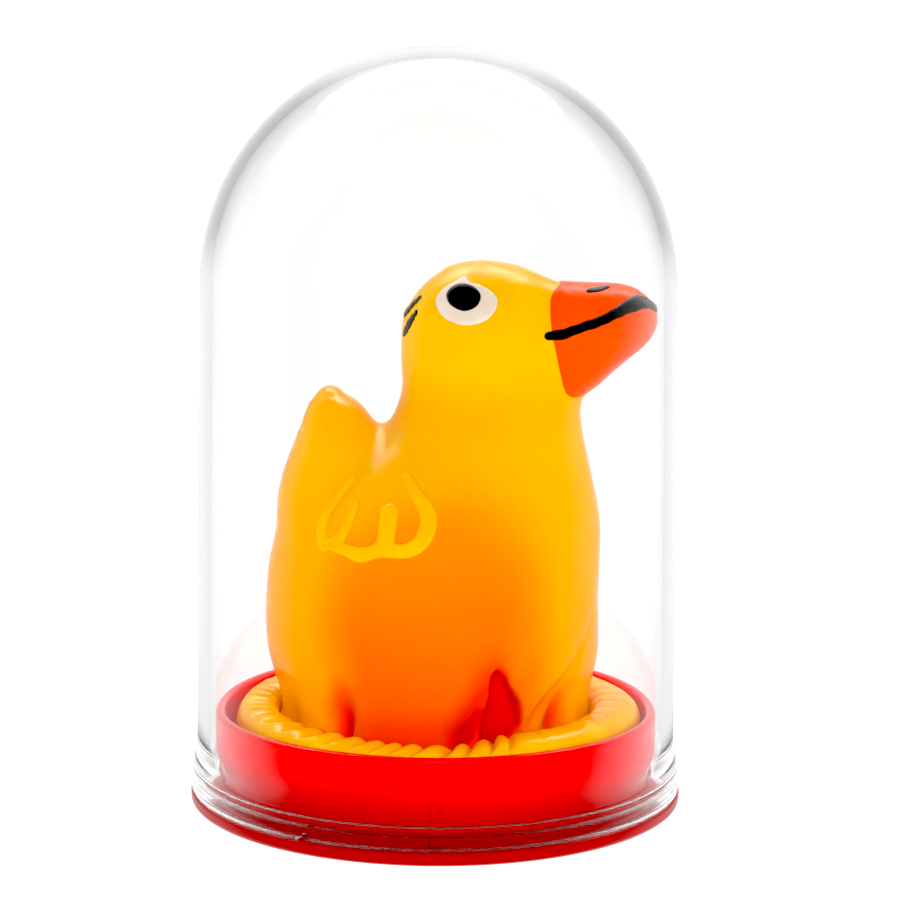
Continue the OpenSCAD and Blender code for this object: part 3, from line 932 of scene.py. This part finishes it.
def make_base(material):
    """The red cup on its flange, hollow below, with a snap bead and ribs on the cup's wall."""
    inner = CUP_R - CUP_WALL
    floor_under = FLOOR_Z - FLOOR_T
    bead = arc([CUP_R, BEAD_Z], BEAD_R, -90, 90, 13)
    lower = rounded_path([[inner, 0, 0.2], [FLANGE_R, 0, FLANGE_ROUND], [FLANGE_R, FLANGE_H, 0.3],
                          [CUP_R, FLANGE_H, 0.25], [CUP_R, BEAD_Z - BEAD_R, 0]])
    upper = rounded_path([[CUP_R, BEAD_Z + BEAD_R, 0], [CUP_R, RIB_TOP - 0.25, 0], [CUP_R, RIB_TOP, 0],
                          [CUP_R, CUP_TOP, 0.4], [inner, CUP_TOP, 0.4], [inner, FLOOR_Z, 0.5],
                          [HOLE_R, FLOOR_Z, 0.15], [HOLE_R, floor_under, 0.1], [inner, floor_under, 0.4],
                          [inner, 0, 0]])
    profile = np.concatenate([lower, bead, upper[:-1]])
    angles = ring_angles(200, RIB_ANGLES, 0.045, 0.006)

    def ribbed(a, r, z):
        for rib in RIB_ANGLES:
            off = np.abs(np.angle(np.exp(1j * (a - math.radians(rib))))) * CUP_R
            side = 1 - ramp(off, RIB_WIDTH / 2 - 0.15, RIB_WIDTH / 2 + 0.1)
            high = 1 - ramp(z, RIB_TOP - 0.3, RIB_TOP - 0.02)
            on_wall = (np.abs(r - CUP_R) < BEAD_R + 0.01) & (z > FLANGE_H + 0.2) & (z < RIB_TOP)
            r = np.where(on_wall, np.maximum(r, CUP_R + RIB_OUT * side * high), r)
        return r, z

    verts, faces = lathe(profile, angles, ribbed)
    return new_piece("base_cup_moulding", verts, faces, material, "base", ["base_cup"], 40)


def on_the_axis(profile):
    """The profile with points that are nearly on the axis put on it."""
    profile[np.abs(profile[:, 0]) < 1e-6, 0] = 0
    return profile


def make_former(material):
    """The hollow thimble under the figure, with a foot and a spigot."""
    spigot = FORMER_R - SPIGOT_STEP
    low = FLOOR_Z - FLOOR_T
    inner = FORMER_R - FORMER_WALL
    foot_top = FLOOR_Z + FORMER_FOOT_T
    shoulder = FORMER_TOP - FORMER_R
    side = rounded_path([[inner, low, 0], [spigot, low, 0.2], [spigot, FLOOR_Z, 0],
                         [FORMER_FOOT_R, FLOOR_Z, 0.25], [FORMER_FOOT_R, foot_top, 0.35],
                         [FORMER_R, foot_top, 0.5], [FORMER_R, shoulder - 1, 0]])
    crown = arc([0, shoulder], FORMER_R, 0, 90, 30)
    vault = arc([0, shoulder], inner, 90, 0, 24)
    verts, faces = lathe(on_the_axis(np.concatenate([side, crown, vault])), ring_angles(144))
    return new_piece("inner_former_moulding", verts, faces, material, "base",
                     ["inner_former"], 40)


def make_dome(material):
    """The clear dome: a round top, a wall that widens to its foot, a flared skirt with a snap groove
    inside and a half-round notch in its edge."""
    centre = CASE_TOP - DOME_R
    inner = DOME_R - DOME_WALL
    foot, inner_foot = DOME_R + DOME_DRAFT, DOME_R + DOME_DRAFT - DOME_WALL
    skirt_top = DOME_FOOT + SKIRT_H + 0.6

    def wall(at_top, z):
        return at_top + DOME_DRAFT * (centre - z) / (centre - DOME_FOOT)

    top = arc([0, centre], DOME_R, 90, 0, 72)
    outside = [[wall(DOME_R, z), z] for z in np.linspace(centre - 1, skirt_top, 24)]
    flare = [[wall(DOME_R, z) + SKIRT_FLARE * ramp(skirt_top - z, 0, SKIRT_H), z]
             for z in np.linspace(skirt_top - 0.2, DOME_FOOT + 0.9, 14)]
    edge = rounded_path([[*flare[-1], 0], [foot + SKIRT_FLARE, DOME_FOOT, 0.22],
                         [inner_foot, DOME_FOOT, 0.22], [inner_foot, BEAD_Z - GROOVE_R - 0.05, 0]])[1:]
    groove = arc([inner_foot, BEAD_Z], GROOVE_R, -90, 90, 13, 0.8)
    inside = [[wall(inner, z), z] for z in np.linspace(BEAD_Z + GROOVE_R + 0.08, centre - 1, 36)]
    vault = arc([0, centre], inner, 0, 90, 72)
    profile = on_the_axis(np.concatenate([top, outside, flare, edge, groove, inside, vault]))
    angles = ring_angles(256, (NOTCH_ANGLE,), 0.03, 0.0025)

    def notched(a, r, z):
        off = np.abs(np.angle(np.exp(1j * (a - math.radians(NOTCH_ANGLE))))) * DOME_R
        arch = np.sqrt(np.clip(NOTCH_R**2 - off**2, 0, None))
        return r, np.where(z < DOME_FOOT + 0.3, z + arch, z)

    verts, faces = lathe(profile, angles, notched)
    return new_piece("dome_clear_moulding", verts, faces, material, "dome",
                     ["dome_cover"], 35)


# Figure -----------------------------------------------------------------------------------------


def make_figure_skin(skin, material):
    """The skin as a real shell, open at its foot, which ends inside the rolled hem."""
    rows = np.concatenate([skin.verts, skin.normals], 1)
    rows, tris, _ = cut_off(rows, skin.tris, skin.verts[:, 2] - SKIRT_EDGE_H)
    outside, normals = rows[:, :3], rows[:, 3:6]
    inside = relaxed(outside - normals * SKIN_T, tris, 4, 0.5)
    reach = np.hypot(inside[:, 0], inside[:, 1])
    low = inside[:, 2] < FORMER_TOP - FIGURE_Z - FORMER_R
    least = FORMER_R + 0.25
    push = np.where(low & (reach < least), least / np.maximum(reach, 1), 1)
    inside[:, :2] *= push[:, None]
    verts, faces = shell(outside, inside, tris)
    return new_piece("duck_skin", lifted(verts), faces, material, "figure", ["figure_skin"])


def make_hem(material):
    """The skin's rolled edge: a flattened roll, drawn into leaning pleats but for a smooth fat lobe
    at the right of the breast."""
    turns, sides = 1440, 64
    widths = 1 + 0.35 * RNG.uniform(-1, 1, PLEATS)
    edges = np.concatenate([[0], np.cumsum(widths)]) / widths.sum() * 2 * math.pi
    strength = 0.75 + 0.5 * RNG.uniform(0, 1, PLEATS)
    angle, section = np.meshgrid(np.linspace(0, 2 * math.pi, turns, endpoint=False),
                                 np.linspace(0, 2 * math.pi, sides, endpoint=False), indexing="ij")
    out, up = np.cos(section), np.sin(section)
    direction = np.degrees(np.angle(np.exp(1j * angle)))
    shape = np.array(HEM_SHAPE)
    half = np.interp(direction, shape[:, 0], shape[:, 1]) / 2
    inset = np.interp(direction, shape[:, 0], shape[:, 2])
    lobe = ramp(direction, -72, -60) * (1 - ramp(direction, 50, 75))

    at = np.mod(angle + math.radians(PLEAT_LEAN) * out * np.clip(up + 0.3, 0, 1), 2 * math.pi)
    pleat = np.clip(np.searchsorted(edges, at, side="right") - 1, 0, PLEATS - 1)
    share = (at - edges[pleat]) / (edges[pleat + 1] - edges[pleat])
    gap = 1 - np.abs(np.sin(math.pi * share)) ** 0.6
    front = ramp(-np.sin(angle), 0.75, 0.95)
    facing = np.clip(np.cos(section - np.radians(138 - 23 * front)), 0, 1) ** 0.75
    half = half - PLEAT_DEPTH * strength[pleat] * (1 - 0.9 * lobe) * facing * gap
    sway = 0.06 * np.sin(3 * angle + 0.6) + 0.05 * np.sin(7 * angle + 2.0)

    flat = (HEM_W - HEM_H - inset) / 2
    middle = HEM_OUTER_R - (HEM_W + inset) / 2
    r = middle + flat * np.clip(3 * out, -1, 1) + (half + sway) * out
    z = np.interp(direction, shape[:, 0], shape[:, 1]) / 2 + half * up
    r = np.minimum(r, HEM_OUTER_R)
    verts = np.stack([r * np.cos(angle), r * np.sin(angle), np.maximum(z, 0)], 2).reshape(-1, 3)
    i, k = np.meshgrid(np.arange(turns), np.arange(sides), indexing="ij")
    j, q = (i + 1) % turns, (k + 1) % sides
    faces = np.stack([i * sides + k, j * sides + k, j * sides + q, i * sides + q], 2).reshape(-1, 4)
    return new_piece("duck_hem", lifted(verts), faces, material, "figure", ["rolled_hem"])


def make_paint(skin):
    """All that is painted on the skin."""
    orange = paint_material("orange_latex_coat", (1.0, 0.075, 0.0), (1.0, 0.105, 0.0), 6)
    black = paint_material("black_latex_paint", (0.004, 0.004, 0.004), (0.012, 0.011, 0.01), 1.5,
                           (0.2, 0.38), 0.03, gloss=0.5)
    smooth_black = paint_material("smooth_black_latex_paint", (0.003, 0.003, 0.003), (0.006, 0.006, 0.006),
                                  1.5, (0.14, 0.2), 0.004, gloss=0.6)
    white = paint_material("cream_latex_paint", (0.80, 0.62, 0.5), (0.86, 0.7, 0.58), 2.5)
    pale = paint_material("pale_yellow_latex_paint", (1.0, 0.42, 0.0), (1.0, 0.48, 0.002), 3)

    under_and_front = [[40, COAT_UNDER], [40, 60]]
    coat_field = seen_from_side(np.concatenate([smooth_rows(COAT_EDGE, 5), under_and_front]))
    white_field = seen_from_side(smooth_rows(EYE_WHITE, 5, closed=True))
    pupil_field = seen_from_side(smooth_rows(PUPIL, 6, closed=True))

    def coat_height(points):
        return rounded_height(coat_field(points), *COAT_RISE)

    def white_height(points):
        return rounded_height(white_field(points), *WHITE_RISE)

    painted("beak_latex_coat", skin, (9.5, -9, 30), (24, 9, 49), 1, coat_field, COAT_RISE, orange,
            ["beak_coat"])

    right_path, right_widths = skin.side_path(MOUTH, RIGHT)
    left_path, left_widths = skin.side_path(MOUTH, LEFT)
    tip = skin.cast((30, 0, MOUTH_TIP[1]), (-1, 0, 0))
    path = np.concatenate([right_path, [tip], left_path[::-1]])
    widths = np.concatenate([right_widths, [MOUTH_TIP[2]], left_widths[::-1]])

    def mouth_field(points):
        ragged = 0.05 * np.sin(points[:, 0] * 3.1 + 1) * np.sin(points[:, 2] * 4.3)
        return stroke_field(points, path, widths) + ragged

    painted("mouth_latex_line", skin, (9.5, -9, 39), (24, 9, 47), 2, mouth_field, MOUTH_RISE, black,
            ["mouth_line"], coat_height)

    nostril = smooth_rows(NOSTRIL, 4)
    for side, word in ((LEFT, "left"), (RIGHT, "right")):
        low_y, high_y = sorted((side * 0.05, side * 20))
        nostril_path = np.array([skin.cast((x, side * y, 60), (0, 0, -1)) for x, y, _ in nostril])
        strokes = [skin.side_path(stroke, side) for stroke in WING]
        painted(f"nostril_dab_{word}", skin, (13, low_y, 43), (18.5, high_y, 48), 2,
                lambda p, line=nostril_path: stroke_field(p, line, nostril[:, 2]), NOSTRIL_RISE, black,
                [f"nostril_{word}"], coat_height)
        painted(f"eye_white_patch_{word}", skin, (-2, low_y, 41), (8, high_y, 49), 2, white_field,
                WHITE_RISE, white, [f"eye_white_{word}"])
        painted(f"pupil_dab_{word}", skin, (-1, low_y, 42.5), (6, high_y, 48), 2, pupil_field,
                PUPIL_RISE, smooth_black, [f"pupil_{word}"], white_height)
        painted(f"wing_raised_line_{word}", skin, (-14, low_y, 17), (2.5, high_y, 31), 2,
                lambda p, lines=strokes: joined_field([stroke_field(p, *line) for line in lines]),
                WING_RISE, pale, [f"wing_outline_{word}"])

    crest = [skin.side_path(stroke, side) for side in (RIGHT, LEFT) for stroke in CREST]

    def crest_field(points):
        x, y, z = points.T
        dry = 0.1 * np.sin(9 * z + 5 * x) * np.sin(11 * x - 6 * z + 3 * y)
        return np.max([stroke_field(points, *s) for s in crest], axis=0) + dry

    painted("crest_brush_marks", skin, (-5, -9, 38.5), (0, 9, 47.5), 2, crest_field, CREST_RISE, black,
            ["crest_marks"])


# Studio -----------------------------------------------------------------------------------------


def make_floor():
    """A pale round table under the object. It isn't mirrored in the gloss."""
    around = np.linspace(0, 2 * math.pi, 96, endpoint=False)
    rim = [(FLOOR_R * math.cos(t), FLOOR_R * math.sin(t), 0) for t in around]
    mesh = bpy.data.meshes.new("floor")
    mesh.from_pydata(rim, [], [list(range(len(rim)))])
    floor = bpy.data.objects.new("floor", mesh)
    bpy.context.scene.collection.objects.link(floor)
    look = Look("floor_white", Roughness=0.9)
    look.colour(look.stops(look.noise(40, 2.0), [(0.0, (0.56, 0.56, 0.56)), (1.0, (0.62, 0.62, 0.62))]))
    look.shader.inputs["Specular IOR Level"].default_value = 0.1
    look.shader.inputs["Emission Color"].default_value = (1, 1, 1, 1)
    look.shader.inputs["Emission Strength"].default_value = FLOOR_GLOW
    floor.data.materials.append(look.material)
    floor.visible_glossy = False
    floor.visible_transmission = False


def make_world():
    """A white tent behind and beside the object, brighter than paper white, open towards the
    camera. What the camera sees directly is plain white."""
    world = bpy.data.worlds.new("tent")
    bpy.context.scene.world = world
    world.use_nodes = True
    tree = Graph(world.node_tree)
    times, between = tree.times, tree.between
    x, y, z = tree.axes(tree.node("ShaderNodeTexCoord").outputs["Generated"])
    edge = tree.less(y, times(z, 0.36))
    tent = between(edge, -0.17, -0.07, FRONT_LIGHT, TENT_LIGHT)
    back = between(y, 0.6, 0.9, 0.0, TENT_LIGHT - BACK_LIGHT)
    light = tree.math("MAXIMUM", tree.less(tent, back), FRONT_LIGHT)

    # Grey flags stand round the white paper, square to the lens: deep at the shoulders, thin at the
    # sides and at the top. What is mirrored sees them from nearer the middle
    up = tree.plus(z, LENS_DROP)
    off_middle = tree.length(x, up)
    off_axis = tree.math("ARCTAN2", off_middle, y)
    sideways = tree.math("DIVIDE", tree.math("ABSOLUTE", x), tree.math("MAXIMUM", off_middle, 0.001))
    drop = times(between(sideways, 0.2, 0.65, CROWN_DROP, FLAG_DROP),
                 between(sideways, 0.92, 0.995, 1.0, SIDE_SHARE))
    drop = times(drop, between(up, -0.35, -0.2))
    drop = times(drop, between(off_axis, 0.75, 1.1, 1.0, 0.0))
    paper = times(PAPER_LIGHT, tree.less(1.0, times(drop, between(off_axis, 0.2, 0.46))))
    mirrored_shade = tree.less(1.0, times(drop, between(off_axis, 0.0, 0.56)))

    # Mirrored, the tent begins softly in the dome's wall and crisply in what stands inside it
    path = tree.node("ShaderNodeLightPath").outputs
    soft_tent = between(edge, -0.15, 1.0, FRONT_LIGHT, SOFT_TENT)
    crisp_tent = between(edge, -0.08, 0.22, 0.0, CRISP_TENT)
    deep = tree.math("GREATER_THAN", path["Transmission Depth"], 2.5)
    mirrored_paper = tree.plus(times(crisp_tent, deep), times(soft_tent, tree.less(1.0, deep)))
    mirrored_paper = times(mirrored_paper, mirrored_shade)
    mirrored = tree.math("GREATER_THAN", path["Glossy Depth"], 0.5)
    seen_through = tree.plus(times(mirrored_paper, mirrored), times(paper, tree.less(1.0, mirrored)))
    through = path["Is Transmission Ray"]
    shiny = times(path["Is Glossy Ray"], tree.less(1.0, through))
    strength = tree.plus(times(seen_through, through), times(mirrored_paper, shiny))
    other = tree.less(1.0, tree.math("MAXIMUM", through, shiny))
    strength = tree.plus(strength, times(light, other))
    strength = tree.math("MAXIMUM", strength, times(path["Is Camera Ray"], WHITE))
    background = tree.nodes["Background"]
    tree.wire(strength, background.inputs["Strength"])
    background.inputs["Color"].default_value = (1, 1, 1, 1)


def area_lamp(name, place, aim, size, watts, shines=False):
    """A soft lamp that only lights, or one that is only mirrored in the gloss."""
    lamp = bpy.data.lights.new(name, "AREA")
    lamp.shape = "ELLIPSE"
    lamp.size, lamp.size_y = size
    lamp.energy = watts
    lit = bpy.data.objects.new(name, lamp)
    bpy.context.scene.collection.objects.link(lit)
    lit.location = place
    lit.rotation_euler = (Vector(aim) - Vector(place)).to_track_quat("-Z", "Y").to_euler()
    lit.visible_camera = False
    lit.visible_glossy = shines
    lit.visible_diffuse = not shines
    lit.visible_transmission = False
    return lit


def make_camera():
    """A long lens in front of the case, a little above it, aimed slightly down."""
    distance, height = 0.25783, 0.07483
    tilt, aim, roll = 0.1505, 0.00494, 0.0073
    camera = bpy.data.cameras.new("camera")
    camera.sensor_width = 36
    camera.lens = 103.35
    camera.clip_start, camera.clip_end = 0.01, 20
    seen = bpy.data.objects.new("camera", camera)
    bpy.context.scene.collection.objects.link(seen)
    seen.matrix_world = (Matrix.Translation((0, -distance, height)) @ Matrix.Rotation(-aim, 4, "Z")
                         @ Matrix.Rotation(math.pi / 2 - tilt, 4, "X") @ Matrix.Rotation(roll, 4, "Z"))
    bpy.context.scene.camera = seen


def set_finish():
    """Plain display of strong colours, and enough light bounces for thick clear plastic."""
    scene = bpy.context.scene
    scene.view_settings.view_transform = "Standard"
    scene.view_settings.look = "None"
    scene.view_settings.use_curve_mapping = True
    scene.view_settings.curve_mapping.black_level = (BLACK, BLACK, BLACK)
    scene.view_settings.curve_mapping.update()
    scene.cycles.use_denoising = True
    scene.cycles.max_bounces = 16
    scene.cycles.diffuse_bounces = 3
    scene.cycles.glossy_bounces = 6
    scene.cycles.transmission_bounces = 14
    scene.cycles.transparent_max_bounces = 16
    scene.cycles.sample_clamp_indirect = 8


FRONT_LIGHT = 0.06
TENT_LIGHT = 2.6
BACK_LIGHT = 1.3
PAPER_LIGHT = 1.19
WHITE = 1.25
FLAG_DROP = 0.47
CROWN_DROP = 0.13
SIDE_SHARE = 0.44
LENS_DROP = 0.15
SOFT_TENT = 1.17
CRISP_TENT = 1.3
FLOOR_R = 0.13
FLOOR_GLOW = 0.9
BLACK = 0.03


make_world()
make_floor()
area_lamp("front_fill", (0.05, -0.6, 0.25), (0, 0, 0.03), (0.5, 0.5), 4.9)
area_lamp("top_shine", (0.0, 0.34, 0.52), (0, 0, 0.05), (0.7, 0.24), 7, shines=True)
make_camera()
set_finish()

# the base's third colour is the painted shade low on the cup
make_base(red_plastic("red_base_plastic", (0.8, 0.0015, 0.0015), (0.92, 0.002, 0.002), (0.36, 0.001, 0.001)))
make_former(red_plastic("red_former_plastic", (0.5, 0.002, 0.002), (0.62, 0.003, 0.002)))
make_dome(clear_plastic())

duck = Skin()
make_figure_skin(duck, skin_material())
make_hem(hem_material())
make_paint(duck)

bpy.context.view_layer.update()
